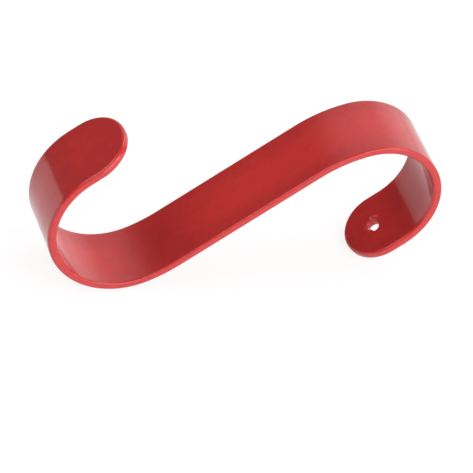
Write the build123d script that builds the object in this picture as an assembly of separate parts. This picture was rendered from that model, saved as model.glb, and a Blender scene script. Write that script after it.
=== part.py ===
from build123d import *
from math import asin, atan2, degrees, hypot
import os

# A utility hook: one flat strip of steel with round ends, bent into an S and coated all over.
# Millimetres, +Z up. The hook stands as it comes to rest on a table: on the bottom of its left
# loop and on the end of its right tip, with the stem rising between them. The origin is under
# the middle of its length, on the table, and the strip is as wide as the hook is along Y.

# The strip, measured over its coating
strip_width = 30.3
strip_thickness = 3.3
edge_radius = 1.0  # the long edges and the round ends, softened by the coating
end_radius = strip_width / 2  # both ends are full half circles

# The straight stretches of the strip
stem_length = 64.0
tip_length = 20.0  # each tip, from the end of its bend to the far point of its round end

# The two loops, each bent round until its tip lies back beside the stem
loop_turn = 180.0
left_loop_inner_radius = 28.0
right_loop_inner_radius = 24.5

# Beside the stem each bend starts gently, on a larger radius
left_lead_turn = 13.0
right_lead_turn = 23.0
lead_radius_ratio = 2.0  # radius of a lead over that of its loop, both at the strip's middle

# The small hole in the right tip
hole_radius = 2.3
hole_from_end = 12.5
hole_rim_radius = 0.9  # the coating rolls over the rim on both faces


def strip_runs():
    """The strip from its left end to its right end, as pairs of a length and a turn.

    A straight run has no turn. A bend is its radius at the strip's middle and the degrees that
    it turns, to the left if positive.
    """
    left_radius = left_loop_inner_radius + strip_thickness / 2
    right_radius = right_loop_inner_radius + strip_thickness / 2
    return [
        (tip_length, 0),
        (left_radius, loop_turn - left_lead_turn),
        (left_radius * lead_radius_ratio, left_lead_turn),
        (stem_length, 0),
        (right_radius * lead_radius_ratio, -right_lead_turn),
        (right_radius, right_lead_turn - loop_turn),
        (tip_length, 0),
    ]


def strip_line(offset):
    """The side view's line along the strip, offset to the left of its middle, as edges.

    The stem lies along +X, so the line starts out turned back by the left loop.
    """
    direction = Vector(1, 0).rotate(Axis.Z, -loop_turn)
    point = direction.rotate(Axis.Z, 90) * offset
    edges = []
    for size, turn in strip_runs():
        if turn == 0:
            edge = Line(point, point + direction * size)
        else:
            side = 1 if turn > 0 else -1
            edge = JernArc(point, direction, size - side * offset, turn)
        edges.append(edge)
        point = edge @ 1
        direction = edge % 1
    return edges


def resting_angle(middle):
    """Degrees that the stem rises by when the hook stands on a table.

    The table touches two circles: the outside of the left loop and the softened corner of the
    right end.
    """
    loop = middle[1]
    loop_centre = loop.arc_center
    loop_outer_radius = loop.radius + strip_thickness / 2
    end = middle[-1] @ 1
    along = middle[-1] % 1
    outward = along.rotate(Axis.Z, 90)
    corner_centre = end - along * edge_radius + outward * (strip_thickness / 2 - edge_radius)
    span = corner_centre - loop_centre
    table_angle = atan2(span.Y, span.X) + asin((loop_outer_radius - edge_radius) / hypot(span.X, span.Y))
    return -degrees(table_angle)


def end_plane(end, along):
    """A plane on the strip's middle at one end: x runs out of the end, y along the width."""
    return Plane(origin=(end.X, 0, end.Y), x_dir=(along.X, 0, along.Y), z_dir=(-along.Y, 0, along.X))


def end_waste():
    """What a full half circle leaves of a square end, ready to be cut away."""
    corner = Pos(-end_radius / 2, 0) * Rectangle(end_radius, strip_width + strip_thickness)
    return extrude(corner - Pos(-end_radius, 0) * Circle(end_radius), strip_thickness, both=True)


def long_edges(strip):
    """The edges that run round both faces, without the seams across the strip or its thickness."""
    round_the_faces = strip.edges().filter_by(Axis.Y, reverse=True)
    return round_the_faces.filter_by(lambda edge: edge.length > strip_thickness * 1.01)


def hook_strip():
    """The whole hook in its side view's frame, with the stem along +X."""
    middle = strip_line(0)
    left_side = strip_line(strip_thickness / 2)
    right_side = strip_line(-strip_thickness / 2)
    ends = [Line(left_side[0] @ 0, right_side[0] @ 0), Line(left_side[-1] @ 1, right_side[-1] @ 1)]
    side_view = make_face(left_side + right_side + ends)
    hook = extrude(Plane.XZ * side_view, strip_width / 2, both=True)

    left_end = end_plane(middle[0] @ 0, (middle[0] % 0) * -1)
    right_end = end_plane(middle[-1] @ 1, middle[-1] % 1)
    for end in (left_end, right_end):
        hook -= end * end_waste()
    hook = fillet(long_edges(hook), edge_radius)

    hook -= right_end * Pos(-hole_from_end, 0, 0) * Cylinder(hole_radius, 2 * strip_thickness)
    rims = hook.edges().filter_by(lambda edge: edge.geom_type == GeomType.CIRCLE)
    rims = rims.filter_by(lambda edge: abs(edge.radius - hole_radius) < hole_rim_radius / 2)
    hook = fillet(rims, hole_rim_radius)
    return Rot(0, -resting_angle(middle), 0) * hook


def on_the_table(hook):
    """The hook moved until it stands on z = 0, with the middle of its length over the origin."""
    box = hook.bounding_box()
    return Pos(-box.center().X, 0, -box.min.Z) * hook


os.makedirs("parts", exist_ok=True)
hook = on_the_table(hook_strip())
export_step(hook, "parts/hook_strip.step")
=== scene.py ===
import logging
import math
from collections.abc import Sequence
from dataclasses import dataclass, field
from enum import Enum

import bmesh
import bpy
import numpy as np
from mathutils import Matrix, Vector, noise


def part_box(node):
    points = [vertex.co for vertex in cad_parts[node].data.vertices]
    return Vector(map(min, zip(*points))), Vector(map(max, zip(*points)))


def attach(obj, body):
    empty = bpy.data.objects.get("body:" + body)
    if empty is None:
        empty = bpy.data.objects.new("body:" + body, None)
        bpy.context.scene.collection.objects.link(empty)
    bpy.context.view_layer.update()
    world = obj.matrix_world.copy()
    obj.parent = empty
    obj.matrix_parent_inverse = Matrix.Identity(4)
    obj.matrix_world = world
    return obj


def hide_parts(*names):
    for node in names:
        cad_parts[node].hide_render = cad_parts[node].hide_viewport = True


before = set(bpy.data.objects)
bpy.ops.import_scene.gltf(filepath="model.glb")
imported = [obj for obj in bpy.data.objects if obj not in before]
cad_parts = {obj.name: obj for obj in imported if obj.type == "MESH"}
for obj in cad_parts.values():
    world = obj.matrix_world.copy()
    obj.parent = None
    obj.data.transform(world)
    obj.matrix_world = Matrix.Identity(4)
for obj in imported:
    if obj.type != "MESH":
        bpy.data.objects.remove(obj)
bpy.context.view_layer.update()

NODE = "hook_strip"
BODY = "root"
MM = 0.001  # metres

log = logging.getLogger("utility_hook")


def linear(colour: str) -> tuple[float, float, float, float]:
    """Turns an sRGB hex colour into the linear colour that a shader socket takes.

    Args:
        colour: the colour as "#RRGGBB".

    Returns:
        Red, green, blue and an alpha of 1, all linear.
    """
    values = [int(colour[i : i + 2], 16) / 255 for i in (1, 3, 5)]
    red, green, blue = [v / 12.92 if v <= 0.04045 else ((v + 0.055) / 1.055) ** 2.4 for v in values]
    return red, green, blue, 1.0


def per_metre(size_mm: float) -> float:
    """Gives the texture scale at which one lump of a pattern is size_mm across."""
    return 1 / (size_mm * MM)


def add_node(
    tree: bpy.types.NodeTree,
    kind: str,
    settings: dict[str, object] | None = None,
    inputs: dict[str | int, object] | None = None,
) -> bpy.types.Node:
    """Adds one node to a shader tree, with its settings and links.

    Args:
        tree: the node tree that the node goes into.
        kind: the node's type, such as "ShaderNodeTexNoise".
        settings: the node's own properties, by name.
        inputs: what each socket gets, by name or number: a value, or an output socket to link.

    Returns:
        The new node.
    """
    node = tree.nodes.new(kind)
    for name, value in (settings or {}).items():
        setattr(node, name, value)
    for name, value in (inputs or {}).items():
        if isinstance(value, bpy.types.NodeSocket):
            tree.links.new(value, node.inputs[name])
        else:
            node.inputs[name].default_value = value
    return node


def empty_material(name: str) -> tuple[bpy.types.Material, bpy.types.NodeTree]:
    """Makes a material with no nodes in it yet.

    Args:
        name: the material's name.

    Returns:
        The material and its node tree.
    """
    material = bpy.data.materials.new(name)
    material.use_nodes = True
    material.node_tree.nodes.clear()
    return material, material.node_tree


def rays_that_see(tree: bpy.types.NodeTree, *kinds: str) -> bpy.types.NodeSocket:
    """Finds out whether a ray is of one of these kinds.

    Args:
        tree: the node tree that asks.
        kinds: the Light Path node's names for the kinds of ray.

    Returns:
        An output that is 1 for such a ray and 0 for any other.
    """
    path = add_node(tree, "ShaderNodeLightPath")
    found = path.outputs[kinds[0]]
    for kind in kinds[1:]:
        either = add_node(tree, "ShaderNodeMath", {"use_clamp": True}, {0: found, 1: path.outputs[kind]})
        found = either.outputs[0]
    return found


def direction(azimuth: float, elevation: float) -> Vector:
    """The way from the hook to a place in the studio.

    Args:
        azimuth: degrees round the hook, 0 in front of it and 90 at its right.
        elevation: degrees above the table.

    Returns:
        The way, 1 long.
    """
    round_it, above = math.radians(azimuth), math.radians(elevation)
    level = math.cos(above)
    return Vector((math.sin(round_it) * level, -math.cos(round_it) * level, math.sin(above)))


def smooth_rise(value: np.ndarray, start: float, end: float) -> np.ndarray:
    """Rises smoothly from 0 at start to 1 at end, and is level outside them."""
    share = np.clip((value - start) / (end - start), 0, 1)
    return share * share * (3 - 2 * share)


class Face(Enum):
    """The strip's two broad faces, by the side that they have as the strip runs left to right."""

    UPPER = 1  # the top of the stem and the inside of the left loop
    UNDER = -1  # the underside of the stem and the inside of the right loop


class End(Enum):
    """The strip's two round ends."""

    LEFT = "left"
    RIGHT = "right"


@dataclass
class BentStrip:
    """The strip without its surface: a flat blank with round ends, and the bends of the S.

    A place on the strip has three measures in millimetres: along it from the left end, across
    it from its middle line, and its height over the middle of its thickness, which is positive
    on the upper face.
    """

    width: float = 30.3  # over the coating, as the thickness is
    thickness: float = 3.3
    upper_edge_radius: float = 0.7  # where the upper face rolls over to the side
    under_edge_radius: float = 1.3
    tip_length: float = 20.0
    stem_length: float = 64.0
    loop_turn: float = 180.0  # degrees, a lead's turn among them
    left_inner_radius: float = 28.0
    right_inner_radius: float = 24.5
    left_lead_turn: float = 13.0
    right_lead_turn: float = 23.0
    lead_radius_ratio: float = 2.0  # a lead's radius over its loop's, in the middle of the strip
    resting_angle: float = 37.3914  # degrees that the stem rises by on the table
    hole_radius: float = 2.3
    hole_from_end: float = 12.5

    def runs(self) -> list[tuple[float, float]]:
        """Divides the strip into its straight runs and its bends.

        Returns:
            From the left end to the right one, pairs of a straight run's length and no turn, or of
            a bend's radius and its turn in degrees, which is to the left if positive.
        """
        left = self.left_inner_radius + self.thickness / 2
        right = self.right_inner_radius + self.thickness / 2
        return [
            (self.tip_length, 0),
            (left, self.loop_turn - self.left_lead_turn),
            (left * self.lead_radius_ratio, self.left_lead_turn),
            (self.stem_length, 0),
            (right * self.lead_radius_ratio, -self.right_lead_turn),
            (right, self.right_lead_turn - self.loop_turn),
            (self.tip_length, 0),
        ]

    def length(self) -> float:
        """The flat blank's length, from end to end."""
        return sum(size if turn == 0 else size * math.radians(abs(turn)) for size, turn in self.runs())

    def edge_distance(self, along: np.ndarray, across: np.ndarray) -> np.ndarray:
        """How far each place is from the blank's outline.

        Args:
            along: the places' measures along the strip.
            across: their measures across it.

        Returns:
            The distances, 0 on the outline.
        """
        half = self.width / 2
        beyond = np.maximum(half - along, 0) + np.maximum(along - (self.length() - half), 0)
        return half - np.hypot(beyond, across)

    def bend(self, along: np.ndarray, across: np.ndarray, height: np.ndarray) -> np.ndarray:
        """Bends places on the flat blank into the S, turned as it stands on the table.

        Args:
            along: the places' measures along the strip.
            across: their measures across it.
            height: their heights over the middle of its thickness.

        Returns:
            One row of x, y and z for each place, in millimetres from the strip's left end.
        """
        x = np.zeros_like(along)
        z = np.zeros_like(along)
        start = 0.0
        point = np.zeros(2)
        heading = math.radians(self.resting_angle - self.loop_turn)
        for number, (size, turn) in enumerate(self.runs()):
            radians = math.radians(turn)
            span = size * abs(radians) if turn else size
            last = number == len(self.runs()) - 1
            here = (along >= start) & ((along < start + span) | last)
            gone = along[here] - start
            forward = np.array([math.cos(heading), math.sin(heading)])
            left = np.array([-forward[1], forward[0]])
            if turn:
                side = math.copysign(1, turn)
                centre = point + left * size * side
                angle = heading + side * gone / size
                reach = height[here] - side * size
                x[here] = centre[0] - reach * np.sin(angle)
                z[here] = centre[1] + reach * np.cos(angle)
                end = heading + radians
                point = centre + side * size * np.array([math.sin(end), -math.cos(end)])
                heading = end
            else:
                x[here] = point[0] + forward[0] * gone + left[0] * height[here]
                z[here] = point[1] + forward[1] * gone + left[1] * height[here]
                point = point + forward * span
            start += span
        return np.column_stack([x, across, z])


@dataclass(frozen=True)
class Bump:
    """A drop of coating that has set beside the hole."""

    angle: float  # degrees round the hole, 0 toward the strip's end
    radius: float  # from the hole's centre to the drop's
    spread: float  # how far out the drop has sunk to a third of its height
    height: float

    def rise(self, ahead: np.ndarray, across: np.ndarray) -> np.ndarray:
        """How far the drop stands up.

        Args:
            ahead: the places' measures along the strip, from the hole's centre.
            across: their measures across it.

        Returns:
            The heights over the coating about it.
        """
        turn = math.radians(self.angle)
        distance = np.hypot(ahead - self.radius * math.cos(turn), across - self.radius * math.sin(turn))
        return self.height * np.exp(-((distance / self.spread) ** 2))


@dataclass
class CoatingForm:
    """How the coating lies on the steel: thicker near every edge, and never quite even."""

    edge_swell: float = 0.08  # how far the middle of a face lies below its thick edges
    swell_start: float = 1.6  # from the outline to the top of the thick edge
    swell_end: float = 6.0  # from the outline to the level middle
    sag_height: float = 0.05  # slow waves, which bend the reflections a little
    sag_size: float = 17.0
    sag_start: float = 1.0  # from the outline to where the waves begin
    sag_layer: float = 5.0  # how far up or down in the noise a face's waves are taken
    rim_start: float = 3.2  # from the hole's centre to where the coating rolls into it
    rim_drop: float = 0.95  # how deep it rolls
    bumps: tuple[Bump, ...] = (
        Bump(118.0, 3.5, 1.3, 0.95),
        Bump(60.0, 3.2, 0.6, 0.3),
        Bump(20.0, 3.4, 0.6, 0.28),
        Bump(-28.0, 3.4, 0.5, 0.25),
    )
    drips: tuple[Bump, ...] = (  # what stands into the hole, and where the coating is thin instead
        Bump(-46.0, 2.3, 1.15, 0.95),
        Bump(-112.0, 2.3, 1.4, -0.55),
    )

    def face_level(self, strip: BentStrip, along: np.ndarray, across: np.ndarray, face: Face) -> np.ndarray:
        """The height of one broad face of the coating.

        Args:
            strip: the strip that is coated.
            along: the places' measures along it.
            across: their measures across it.
            face: which of the broad faces.

        Returns:
            The heights over the middle of the strip's thickness.
        """
        inward = strip.edge_distance(along, across)
        sunk = self.edge_swell * smooth_rise(inward, self.swell_start, self.swell_end)
        size = self.sag_size
        waves = [
            noise.noise(Vector((a / size, b / size, self.sag_layer * face.value)))
            for a, b in zip(along.tolist(), across.tolist())
        ]
        sag = self.sag_height * np.array(waves) * smooth_rise(inward, self.sag_start, self.swell_end)
        level = strip.thickness / 2 - sunk + np.minimum(sag, sunk)
        if face is Face.UNDER:
            ahead = along - (strip.length() - strip.hole_from_end)
            level = level + sum(bump.rise(ahead, across) for bump in self.bumps)
        return face.value * level


class SkinMesh:
    """Gathers rows of places on the strip and joins neighbouring rows with four-sided faces."""

    def __init__(self) -> None:
        """Starts with no places and no faces."""
        self.places: list[np.ndarray] = []
        self.faces: list[tuple[int, ...]] = []
        self.count = 0

    def row(self, along: np.ndarray, across: np.ndarray, height: np.ndarray) -> list[int]:
        """Adds one row of places.

        Args:
            along: the places' measures along the strip.
            across: their measures across it.
            height: their heights over the middle of its thickness.

        Returns:
            The numbers of the new places.
        """
        places = np.column_stack(np.broadcast_arrays(along, across, height)).astype(float)
        self.places.append(places)
        first = self.count
        self.count += len(places)
        return list(range(first, self.count))

    def join(self, rows: Sequence[list[int]], closed: bool) -> None:
        """Fills the space between each row and the next.

        Args:
            rows: rows of as many places each, side by side.
            closed: whether each row runs back to its own start.
        """
        for one, two in zip(rows, rows[1:]):
            steps = len(one) if closed else len(one) - 1
            for i in range(steps):
                j = (i + 1) % len(one)
                self.faces.append((one[i], one[j], two[j], two[i]))

    def close(self, ring: list[int], centre: int) -> None:
        """Fills a small ring with a fan round one place.

        Args:
            ring: the numbers of the ring's places.
            centre: the number of the place in its middle.
        """
        for i in range(len(ring)):
            self.faces.append((ring[i], ring[(i + 1) % len(ring)], centre))


@dataclass(frozen=True)
class ShadePatch:
    """A stretch of the strip painted darker on both faces: painted shade where less light reaches it."""

    along: float  # from the strip's left end to the stretch's middle
    reach: float  # from there to where a third of its depth is left
    depth: float  # how much of the way the red goes to its deepest in the middle


@dataclass(frozen=True)
class RedDepthAndShade:
    """How light the coating's red is from place to place, from 0, the deepest, to 1, the lightest; the
    narrow sides and some stretches are painted shade.
    """

    side: float = 0.5  # side: float = 0.5 # on the strip's narrow sides, lowered as painted shade
    side_fade: tuple[float, float] = (0.2, 1.1)  # from the outline, where that comes to its end
    rim: float = 0.15  # rim: float = 0.15 # along the edges of a face, which are painted darker
    rim_fade: tuple[float, float] = (1.6, 12.0)  # rim_fade: tuple[float, float] = (1.6, 12.0) # from the outline, where it fades to the even middle
    # Painted shade, where less light reaches the strip: by the left tip and loop, at the foot of the stem
    # under the left tip, and round the right loop
    shade_patches: tuple[ShadePatch, ...] = (
        ShadePatch(20.0, 50.0, 0.75),
        ShadePatch(117.0, 13.0, 1.0),
        ShadePatch(228.0, 14.0, 0.5),
        ShadePatch(262.0, 15.0, 0.9),
    )

    def lightness(self, along: np.ndarray, inward: np.ndarray) -> np.ndarray:
        """How light the red is at each place.

        Args:
            along: the places' measures along the strip.
            inward: their distances from its outline.

        Returns:
            The shares, from 0 to 1.
        """
        # The narrow sides are painted a little darker than a face's full red, as painted shade
        on_the_side = self.side - self.side * smooth_rise(inward, *self.side_fade)
        on_the_face = self.rim + (1 - self.rim) * smooth_rise(inward, *self.rim_fade)
        # Painted shade, stretch by stretch
        for shade_patch in self.shade_patches:
            away = (along - shade_patch.along) / shade_patch.reach
            on_the_face = on_the_face * (1 - shade_patch.depth * np.exp(-(away**2)))
        return np.maximum(on_the_side, on_the_face)


@dataclass
class CoatedHook:
    """The hook as it is seen: the strip's steel under its whole coating, as one closed skin.

    The skin has a border that follows the outline over both faces, a middle on each face, and a
    cap at each round end, whose mesh closes in rings. The right cap's rings end in the hole.
    """

    strip: BentStrip = field(default_factory=BentStrip)
    form: CoatingForm = field(default_factory=CoatingForm)
    depth: RedDepthAndShade = field(default_factory=RedDepthAndShade)
    step: float = 0.95  # the mesh's spacing along the strip
    columns: int = 22  # across the middle of a face
    border: float = 5.0  # the width of the border
    border_lines: tuple[float, ...] = (4.4, 3.8, 3.3, 2.8, 2.4, 2.0, 1.65, 1.3)  # from the outline
    edge_points: int = 9  # over each rounded edge
    cap_from_end: float = 24.0  # where the caps begin
    cap_stations: int = 10  # from there to where the round end begins
    arc_steps: int = 56  # round each end
    circle: float = 6.6  # radius of the first ring that is a true circle
    outer_rings: int = 8  # from the cap's outline to that circle, with both
    hole_rings: int = 18  # from the circle to the hole's rim, with both
    plain_rings: tuple[float, ...] = (5.4, 4.2, 3.0, 1.8, 0.8)  # inside it, where there is no hole
    roll_points: int = 10  # over the hole's rim
    weld_gap: float = 0.002  # places nearer than this are one

    def build(self) -> bpy.types.Object:
        """Builds the skin, sets it on the table and puts it in the CAD hook's place.

        Returns:
            The hook's object.
        """
        skin = SkinMesh()
        self.border_rows(skin)
        self.middle_rows(skin)
        for end in End:
            self.cap_rows(skin, end)
        places = np.vstack(skin.places)
        points = self.on_the_table(self.strip.bend(places[:, 0], places[:, 1], places[:, 2]))

        mesh = bpy.data.meshes.new("coated_hook")
        mesh.from_pydata(points.tolist(), [], skin.faces)
        inward = self.strip.edge_distance(places[:, 0], places[:, 1])
        lightness = mesh.attributes.new("lightness", "FLOAT", "POINT")
        lightness.data.foreach_set("value", self.depth.lightness(places[:, 0], inward))
        self.weld(mesh)
        hook = bpy.data.objects.new("coated_hook", mesh)
        bpy.context.scene.collection.objects.link(hook)
        hook.data.materials.append(DippedRedCoating().make())
        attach(hook, BODY)
        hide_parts(NODE)
        return hook

    def hole_along(self) -> float:
        """The hole's place along the strip."""
        return self.strip.length() - self.strip.hole_from_end

    def stations(self) -> np.ndarray:
        """Places the mesh's lines along the straight sides.

        Returns:
            Their measures along the strip, with one where each cap begins.
        """
        half = self.strip.width / 2
        length = self.strip.length()
        cap = np.linspace(half, self.cap_from_end, self.cap_stations)
        count = round((length - 2 * self.cap_from_end) / self.step)
        middle = np.linspace(self.cap_from_end, length - self.cap_from_end, count + 1)
        return np.concatenate([cap[:-1], middle, length - cap[-2::-1]])

    def border_profile(self, face: Face) -> list[tuple[float, float | None]]:
        """The border's section on one face, from its inner line to the middle of the side.

        Args:
            face: the broad face that the section starts on.

        Returns:
            Pairs of a distance from the outline and a height, or None where the height is that
            of the face.
        """
        strip, side = self.strip, face.value
        radius = strip.upper_edge_radius if face is Face.UPPER else strip.under_edge_radius
        level = strip.thickness / 2 - radius
        broad = [(inward, None) for inward in (self.border, *self.border_lines)]
        turns = np.linspace(math.pi / 2, 0, self.edge_points)
        edge = [(radius * (1 - math.cos(t)), side * (level + radius * math.sin(t))) for t in turns]
        wall = [(0.0, side * level / 2), (0.0, 0.0)]
        return broad + edge + wall

    def border_rows(self, skin: SkinMesh) -> None:
        """Adds the border that runs round the whole outline, over the edge, on both faces.

        Args:
            skin: the skin that the border belongs to.
        """
        half = self.strip.width / 2
        length = self.strip.length()
        straight = self.stations()
        turn = np.linspace(-math.pi / 2, math.pi / 2, self.arc_steps + 1)[1:-1]
        # Each place of the outline lies half a width out from a core: a middle line or an end's centre
        right_end, left_end = np.full(len(turn), length - half), np.full(len(turn), half)
        core = np.concatenate([straight, right_end, straight[::-1], left_end])
        ones = np.ones_like(straight)
        out_along = np.concatenate([0 * ones, np.cos(turn), 0 * ones, -np.cos(turn)])
        out_across = np.concatenate([-ones, np.sin(turn), ones, -np.sin(turn)])
        # Down the side from the upper face and on to the under one, with the middle row only once
        upper = self.border_profile(Face.UPPER)
        under = self.border_profile(Face.UNDER)[-2::-1]
        rows = []
        for face, profile in ((Face.UPPER, upper), (Face.UNDER, under)):
            for inward, height in profile:
                along = core + out_along * (half - inward)
                across = out_across * (half - inward)
                if height is None:
                    height = self.form.face_level(self.strip, along, across, face)
                rows.append(skin.row(along, across, height))
        skin.join(rows, closed=True)

    def middle_rows(self, skin: SkinMesh) -> None:
        """Adds the middle of both faces, between the caps.

        Args:
            skin: the skin that the middle belongs to.
        """
        reach = self.strip.width / 2 - self.border
        across = np.linspace(-reach, reach, self.columns + 1)
        straight = self.stations()
        from_end = np.minimum(straight, self.strip.length() - straight)
        for face in Face:
            rows = []
            for place in straight[from_end > self.cap_from_end - self.weld_gap]:
                along = np.full_like(across, place)
                rows.append(skin.row(along, across, self.form.face_level(self.strip, along, across, face)))
            skin.join(rows, closed=False)

    def cap_outline(self, end: End) -> tuple[np.ndarray, np.ndarray]:
        """Draws the line round one cap, inside its border.

        Args:
            end: the end that the cap is at.

        Returns:
            The line's measures along and across the strip.
        """
        half = self.strip.width / 2
        reach = half - self.border
        straight = np.linspace(half, self.cap_from_end, self.cap_stations)[1:-1]
        cross = np.linspace(-reach, reach, self.columns + 1)
        turn = np.linspace(-math.pi / 2, math.pi / 2, self.arc_steps + 1)
        side = np.full_like(straight, reach)
        inner_end = np.full_like(cross, self.cap_from_end)
        along = np.concatenate([half - reach * np.cos(turn), straight, inner_end, straight[::-1]])
        across = np.concatenate([reach * np.sin(turn), side, cross[::-1], -side])
        if end is End.RIGHT:
            along = self.strip.length() - along
        return along, across

    def cap_rows(self, skin: SkinMesh, end: End) -> None:
        """Adds both faces of one cap, and the hole's throat in the right one.

        Args:
            skin: the skin that the cap belongs to.
            end: the end that the cap is at.
        """
        along, across = self.cap_outline(end)
        centre = self.hole_along() if end is End.RIGHT else self.strip.hole_from_end
        distance = np.hypot(along - centre, across)
        angle = np.arctan2(across, along - centre)
        shares = np.linspace(0, 1, self.outer_rings)
        rings = [distance + (self.circle - distance) * share for share in shares]
        if end is End.RIGHT:
            circles = np.linspace(self.circle, self.form.rim_start, self.hole_rings)[1:]
        else:
            circles = self.plain_rings
        rings += [np.full_like(distance, radius) for radius in circles]
        inner_rings = {}
        for face in Face:
            rows = []
            for radius in rings:
                ring = centre + radius * np.cos(angle), radius * np.sin(angle)
                rows.append(skin.row(*ring, self.form.face_level(self.strip, *ring, face)))
            skin.join(rows, closed=True)
            if end is End.LEFT:
                level = self.form.face_level(self.strip, np.array([centre]), np.array([0.0]), face)
                middle = skin.row(np.array([centre]), np.array([0.0]), level)
                skin.close(rows[-1], middle[0])
            inner_rings[face] = (rows[-1], rings[-1])
        if end is End.RIGHT:
            self.throat_rows(skin, angle, inner_rings)

    def throat_rows(
        self, skin: SkinMesh, angle: np.ndarray, inner_rings: dict[Face, tuple[list[int], np.ndarray]]
    ) -> None:
        """Adds the wall of the hole, which the coating rolls into from both faces.

        Args:
            skin: the skin that the wall belongs to.
            angle: the direction of each place from the hole's centre.
            inner_rings: each face's last ring: its places and their distances from the centre.
        """
        centre = self.hole_along()
        ahead, aside = np.cos(angle), np.sin(angle)
        radius = self.strip.hole_radius
        radius = radius - sum(drip.rise(radius * ahead, radius * aside) for drip in self.form.drips)
        rows = []
        for face in Face:
            ring, start = inner_rings[face]
            roll = [ring]
            level = self.form.face_level(self.strip, centre + start * ahead, start * aside, face)
            drop = face.value * self.form.rim_drop
            for turn in np.linspace(0, math.pi / 2, self.roll_points)[1:]:
                reach = radius + (start - radius) * (1 - math.sin(turn))
                height = level - drop * (1 - math.cos(turn))
                roll.append(skin.row(centre + reach * ahead, reach * aside, height))
            roll.append(skin.row(centre + radius * ahead, radius * aside, 0.0))
            rows.append(roll)
        skin.join(rows[0] + rows[1][-2::-1], closed=True)

    def on_the_table(self, points: np.ndarray) -> np.ndarray:
        """Moves the bent skin to where the CAD hook stands.

        Args:
            points: the skin's points in millimetres, before it stands on the table.

        Returns:
            The points in metres, in the frame.
        """
        low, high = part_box(NODE)
        points = points * MM
        low_x, high_x = points[:, 0].min(), points[:, 0].max()
        points[:, 0] += (low.x + high.x) / 2 - (low_x + high_x) / 2
        points[:, 1] += (low.y + high.y) / 2
        points[:, 2] += low.z - points[:, 2].min()
        return points

    def weld(self, mesh: bpy.types.Mesh) -> None:
        """Joins the border, middles and caps into one closed skin with its faces turned outward.

        Args:
            mesh: the mesh that holds them, side by side.
        """
        form = bmesh.new()
        form.from_mesh(mesh)
        bmesh.ops.remove_doubles(form, verts=form.verts, dist=self.weld_gap * MM)
        bmesh.ops.recalc_face_normals(form, faces=form.faces)
        for face in form.faces:
            face.smooth = True
        open_edges = sum(not edge.is_manifold for edge in form.edges)
        log.info("coated_hook: %d faces, %d open edges", len(form.faces), open_edges)
        form.to_mesh(mesh)
        form.free()


@dataclass(frozen=True)
class DippedRedCoating:
    """Nylon powder coating on mild steel, dipped hot and flowed out to a gloss red.

    To the eye it is an opaque plastic skin. Its gloss shows the lamps and the paper with slightly
    ragged outlines, and its red is a little cloudy, with a fine grain.
    """

    face_colour: str = "#DC3B38"
    deep_colour: str = "#C73533"  # deep_colour: str = "#C73533" # the red at lightness 0: painted shade on the sides and in shaded stretches, and the darker edges of each face
    cloud_mm: float = 6.0  # across one cloud
    cloud_detail: float = 5.0
    cloud_grain: float = 0.88  # how strong each finer layer of the clouds is
    cloud_share: float = 0.5  # how far the clouds shift the red between its two colours
    cloud_range: tuple[float, float] = (0.3, 0.7)  # what the noise mostly stays within
    peel_mm: float = 1.6  # from crest to crest of the orange peel
    peel_detail: float = 4.0
    peel_height_mm: float = 0.009
    gloss_roughness: float = 0.14
    ior: float = 1.54  # of nylon
    gloss_tint: str = "#F4F8FF"  # the gloss is a little cooler than the lamps

    def make(self) -> bpy.types.Material:
        """Makes the coating's material.

        Returns:
            The material, which reads how light its red is from the mesh.
        """
        material, tree = empty_material("dipped_red_coating")
        place = add_node(tree, "ShaderNodeTexCoord").outputs["Object"]
        # The red is deeper along the edges of each face, and painted shade deepens it on the narrow sides
        # and on stretches that get less light
        shaded_lightness = add_node(tree, "ShaderNodeAttribute", {"attribute_name": "lightness"}).outputs["Fac"]
        # Clouds, broken into fine grain, where more or less of the powder settled and melted
        clouds = add_node(
            tree,
            "ShaderNodeTexNoise",
            inputs={
                "Vector": place,
                "Scale": per_metre(self.cloud_mm),
                "Detail": self.cloud_detail,
                "Roughness": self.cloud_grain,
            },
        )
        cloudy = add_node(
            tree,
            "ShaderNodeMapRange",
            inputs={
                "Value": clouds.outputs["Fac"],
                "From Min": self.cloud_range[0],
                "From Max": self.cloud_range[1],
                "To Min": -self.cloud_share,
                "To Max": self.cloud_share,
            },
        )
        lightness = add_node(
            tree,
            "ShaderNodeMath",
            {"operation": "ADD", "use_clamp": True},
            {0: shaded_lightness, 1: cloudy.outputs["Result"]},
        )
        colour = add_node(
            tree,
            "ShaderNodeMix",
            {"data_type": "RGBA"},
            {0: lightness.outputs[0], 6: linear(self.deep_colour), 7: linear(self.face_colour)},
        )
        # Orange peel, which roughens the reflections' outlines
        peel = add_node(
            tree,
            "ShaderNodeTexNoise",
            inputs={"Vector": place, "Scale": per_metre(self.peel_mm), "Detail": self.peel_detail},
        )
        bump = add_node(
            tree,
            "ShaderNodeBump",
            inputs={"Height": peel.outputs["Fac"], "Strength": 1.0, "Distance": self.peel_height_mm * MM},
        )
        surface = add_node(
            tree,
            "ShaderNodeBsdfPrincipled",
            inputs={
                "Base Color": colour.outputs[2],
                "Roughness": self.gloss_roughness,
                "IOR": self.ior,
                "Specular Tint": linear(self.gloss_tint),
                "Normal": bump.outputs["Normal"],
            },
        )
        add_node(tree, "ShaderNodeOutputMaterial", inputs={"Surface": surface.outputs["BSDF"]})
        return material


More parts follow.
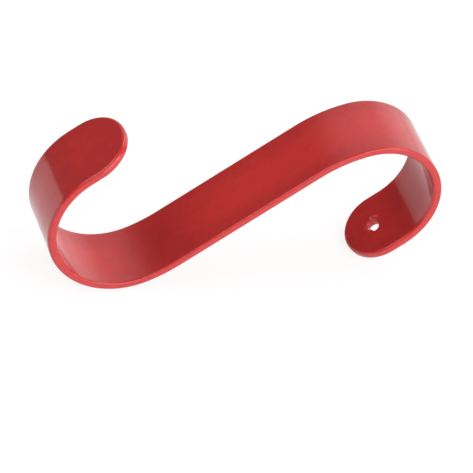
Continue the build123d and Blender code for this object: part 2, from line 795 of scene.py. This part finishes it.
@dataclass(frozen=True)
class WhitePaper:
    """Matt white background paper, which the camera and the reflections see as white."""

    colour: str = "#E4E4E4"  # of the light that it throws up at the hook
    shadow_share: float = 0.15  # how much of what is seen of it comes from the lamps
    white_level: float = 1.0  # how bright it is seen where no shadow falls

    def make(self, lit_level: float) -> bpy.types.Material:
        """Makes the paper's material.

        Args:
            lit_level: how bright the paper is where no shadow falls, from the lamps alone.

        Returns:
            The material.
        """
        material, tree = empty_material("white_paper")
        paper = add_node(tree, "ShaderNodeBsdfDiffuse", inputs={"Color": linear(self.colour)})
        # What is seen is mostly an even white, and the small rest of it takes the hook's shadow
        grey = self.shadow_share / lit_level
        lit = add_node(tree, "ShaderNodeBsdfDiffuse", inputs={"Color": (grey, grey, grey, 1.0)})
        even = self.white_level - self.shadow_share
        glow = add_node(tree, "ShaderNodeEmission", inputs={"Strength": even})
        shown = add_node(tree, "ShaderNodeAddShader", inputs={0: lit.outputs[0], 1: glow.outputs[0]})
        seen = rays_that_see(tree, "Is Camera Ray", "Is Glossy Ray", "Is Transmission Ray")
        mixed = add_node(
            tree, "ShaderNodeMixShader", inputs={0: seen, 1: paper.outputs[0], 2: shown.outputs[0]}
        )
        add_node(tree, "ShaderNodeOutputMaterial", inputs={"Surface": mixed.outputs[0]})
        return material


@dataclass(frozen=True)
class Softbox:
    """One soft lamp, aimed at the hook."""

    name: str
    azimuth: float  # degrees round the hook, 0 in front and 90 at its right
    elevation: float
    distance: float  # metres from the hook's middle
    size: float  # across its round face
    radiance: float  # how bright its face is, where 1 is white
    aim_height: float = 0.03  # of the hook's middle over the table

    def build(self) -> bpy.types.Object:
        """Builds the lamp and turns it to the hook.

        Returns:
            The lamp's object.
        """
        lamp = bpy.data.lights.new(self.name, "AREA")
        lamp.shape = "DISK"
        lamp.size = self.size
        area = math.pi * self.size**2 / 4
        lamp.energy = self.radiance * math.pi * area
        lamp_object = bpy.data.objects.new(self.name, lamp)
        bpy.context.scene.collection.objects.link(lamp_object)
        away = direction(self.azimuth, self.elevation)
        lamp_object.location = Vector((0, 0, self.aim_height)) + away * self.distance
        lamp_object.rotation_mode = "QUATERNION"
        lamp_object.rotation_quaternion = away.to_track_quat("Z", "Y")
        lamp_object.visible_camera = False
        log.info("%s: radiance %.2f", self.name, self.radiance)
        return lamp_object


@dataclass(frozen=True)
class WallGlow:
    """A part of the room's walls that is lit, with no edge to be seen."""

    azimuth: float  # of its middle, in degrees round the hook, as a lamp's
    elevation: float
    core: float  # degrees from its middle to where it starts to fade
    reach: float  # degrees from its middle to where nothing is left of it
    radiance: float

    def add(
        self, tree: bpy.types.NodeTree, toward: bpy.types.NodeSocket, rest: float | bpy.types.NodeSocket
    ) -> bpy.types.NodeSocket:
        """Adds the glow to the room's light.

        Args:
            tree: the room's node tree.
            toward: the direction that is looked in.
            rest: the light of the rest of the room in that direction.

        Returns:
            The sum of the two.
        """
        middle = direction(self.azimuth, self.elevation)
        dot = add_node(tree, "ShaderNodeVectorMath", {"operation": "DOT_PRODUCT"}, {0: toward, 1: middle})
        angle = add_node(tree, "ShaderNodeMath", {"operation": "ARCCOSINE"}, {0: dot.outputs["Value"]})
        fade = add_node(
            tree,
            "ShaderNodeMapRange",
            {"interpolation_type": "SMOOTHSTEP"},
            {
                "Value": angle.outputs[0],
                "From Min": math.radians(self.core),
                "From Max": math.radians(self.reach),
                "To Min": self.radiance,
                "To Max": 0.0,
            },
        )
        return add_node(tree, "ShaderNodeMath", inputs={0: fade.outputs["Result"], 1: rest}).outputs[0]


@dataclass(frozen=True)
class GlossCard:
    """A card that stands on the paper behind the hook, and that only its gloss sees."""

    name: str
    right_corner: tuple[float, float]  # metres on the paper
    left_corner: tuple[float, float]
    height: float
    level: float  # how bright it looks, where 1 is white

    def build(self) -> bpy.types.Object:
        """Stands the card on the paper.

        Returns:
            The card's object, which isn't part of the hook.
        """
        material, tree = empty_material(f"{self.name}_board")
        face = add_node(tree, "ShaderNodeEmission", inputs={"Strength": self.level})
        add_node(tree, "ShaderNodeOutputMaterial", inputs={"Surface": face.outputs[0]})
        mesh = bpy.data.meshes.new(self.name)
        corners = [(*self.right_corner, 0), (*self.left_corner, 0)]
        corners += [(*self.left_corner, self.height), (*self.right_corner, self.height)]
        mesh.from_pydata(corners, [], [(0, 1, 2, 3)])
        mesh.materials.append(material)
        card = bpy.data.objects.new(self.name, mesh)
        bpy.context.scene.collection.objects.link(card)
        for rays in ("camera", "diffuse", "transmission", "volume_scatter", "shadow"):
            setattr(card, f"visible_{rays}", False)
        log.info("%s: level %.2f", card.name, self.level)
        return card


@dataclass
class Studio:
    """The plain studio: white paper, cards for the gloss, soft lamps and a dim room with pale walls."""

    floor_half: float = 4.0  # metres from the middle of the paper to its edge
    lit_level: float = 0.7  # how bright the lamps make the paper beside the hook
    room_level: float = 0.13  # how bright the rest of the room is
    boxes: tuple[Softbox, ...] = (
        Softbox("key_box", 22.0, 22.0, 1.4, 1.75, 2.72),
        Softbox("side_box", 58.0, 6.0, 1.2, 0.2, 11.0),
        Softbox("left_box", -90.0, 50.0, 1.1, 0.8, 2.2),
        Softbox("right_box", 108.0, 53.0, 1.1, 0.6, 2.7),
        Softbox("front_box", -38.0, 32.0, 1.1, 0.5, 1.0),
    )
    walls: tuple[WallGlow, ...] = (
        WallGlow(133.0, 12.0, 5.0, 55.0, 1.4),
        WallGlow(178.0, 45.0, 5.0, 30.0, 0.8),
    )
    cards: tuple[GlossCard, ...] = (
        GlossCard("dark_card", (-0.360, 0.388), (-0.619, 0.154), 0.2, 0.13),
        GlossCard("white_card", (-0.204, 0.360), (-0.288, 0.276), 0.05, 0.8),
    )

    def build(self) -> None:
        """Builds the paper, the cards, the lamps and the room."""
        self.paper()
        for card in self.cards:
            card.build()
        for box in self.boxes:
            box.build()
        self.room()

    def paper(self) -> bpy.types.Object:
        """Lays the sheet of paper that the hook stands on.

        Returns:
            The sheet's object, which isn't part of the hook.
        """
        half = self.floor_half
        mesh = bpy.data.meshes.new("studio_paper")
        corners = [(-half, -half, 0), (half, -half, 0), (half, half, 0), (-half, half, 0)]
        mesh.from_pydata(corners, [], [(0, 1, 2, 3)])
        mesh.materials.append(WhitePaper().make(self.lit_level))
        sheet = bpy.data.objects.new("studio_paper", mesh)
        bpy.context.scene.collection.objects.link(sheet)
        log.info("%s: %.0f m across", sheet.name, 2 * half)
        return sheet

    def room(self) -> None:
        """Lights the room, which the camera sees as plain white behind the paper."""
        world = bpy.data.worlds.new("studio_room")
        world.use_nodes = True
        tree = world.node_tree
        tree.nodes.clear()
        place = add_node(tree, "ShaderNodeTexCoord").outputs["Generated"]
        toward = add_node(tree, "ShaderNodeVectorMath", {"operation": "NORMALIZE"}, {0: place}).outputs[0]
        level = self.room_level
        for wall in self.walls:
            level = wall.add(tree, toward, level)
        walls = add_node(tree, "ShaderNodeBackground", inputs={"Strength": level})
        white = add_node(tree, "ShaderNodeBackground", inputs={"Strength": 1.0})
        seen = rays_that_see(tree, "Is Camera Ray")
        mixed = add_node(
            tree, "ShaderNodeMixShader", inputs={0: seen, 1: walls.outputs[0], 2: white.outputs[0]}
        )
        add_node(tree, "ShaderNodeOutputWorld", inputs={"Surface": mixed.outputs[0]})
        bpy.context.scene.world = world
        log.info("%s: %d pale walls", world.name, len(self.walls))


@dataclass(frozen=True)
class LongLensCamera:
    """The camera: a long lens, looking down at the hook from the front and left."""

    azimuth: float = -24.4910  # degrees round the hook, as a lamp's
    elevation: float = 38.6736
    roll: float = 11.5548  # degrees, to the left if positive
    lens_mm: float = 292.2020  # on Blender's own sensor, 36 mm wide
    distance_mm: float = 1485.6822  # from the middle of the stem
    stem_middle_mm: tuple[float, float, float] = (1.0029, 0.0, 30.6216)
    right_mm: float = -0.6553  # how far it then moves to its own right and up
    up_mm: float = -15.9339

    def build(self) -> bpy.types.Object:
        """Builds the camera and makes it the scene's own.

        Returns:
            The camera's object.
        """
        back = direction(self.azimuth, self.elevation)
        level = direction(self.azimuth + 90, 0)
        upright = back.cross(level)
        roll = math.radians(self.roll)
        right = math.cos(roll) * level + math.sin(roll) * upright
        up = -math.sin(roll) * level + math.cos(roll) * upright
        place = Vector(self.stem_middle_mm) + back * self.distance_mm
        place += right * self.right_mm + up * self.up_mm
        data = bpy.data.cameras.new("long_lens")
        data.lens = self.lens_mm
        camera = bpy.data.objects.new("long_lens", data)
        bpy.context.scene.collection.objects.link(camera)
        turned = Matrix((right, up, back)).transposed().to_4x4()
        camera.matrix_world = Matrix.Translation(place * MM) @ turned
        bpy.context.scene.camera = camera
        log.info("%s: lens %.1f mm", camera.name, data.lens)
        return camera


def main() -> None:
    """Builds the hook, the studio and the camera, in that order."""
    logging.basicConfig(level=logging.INFO, format="%(name)s: %(message)s")
    hook = CoatedHook().build()
    log.info("%s: %d vertices", hook.name, len(hook.data.vertices))
    Studio().build()
    LongLensCamera().build()
    bpy.context.scene.view_settings.view_transform = "Standard"


if __name__ == "__main__":
    main()
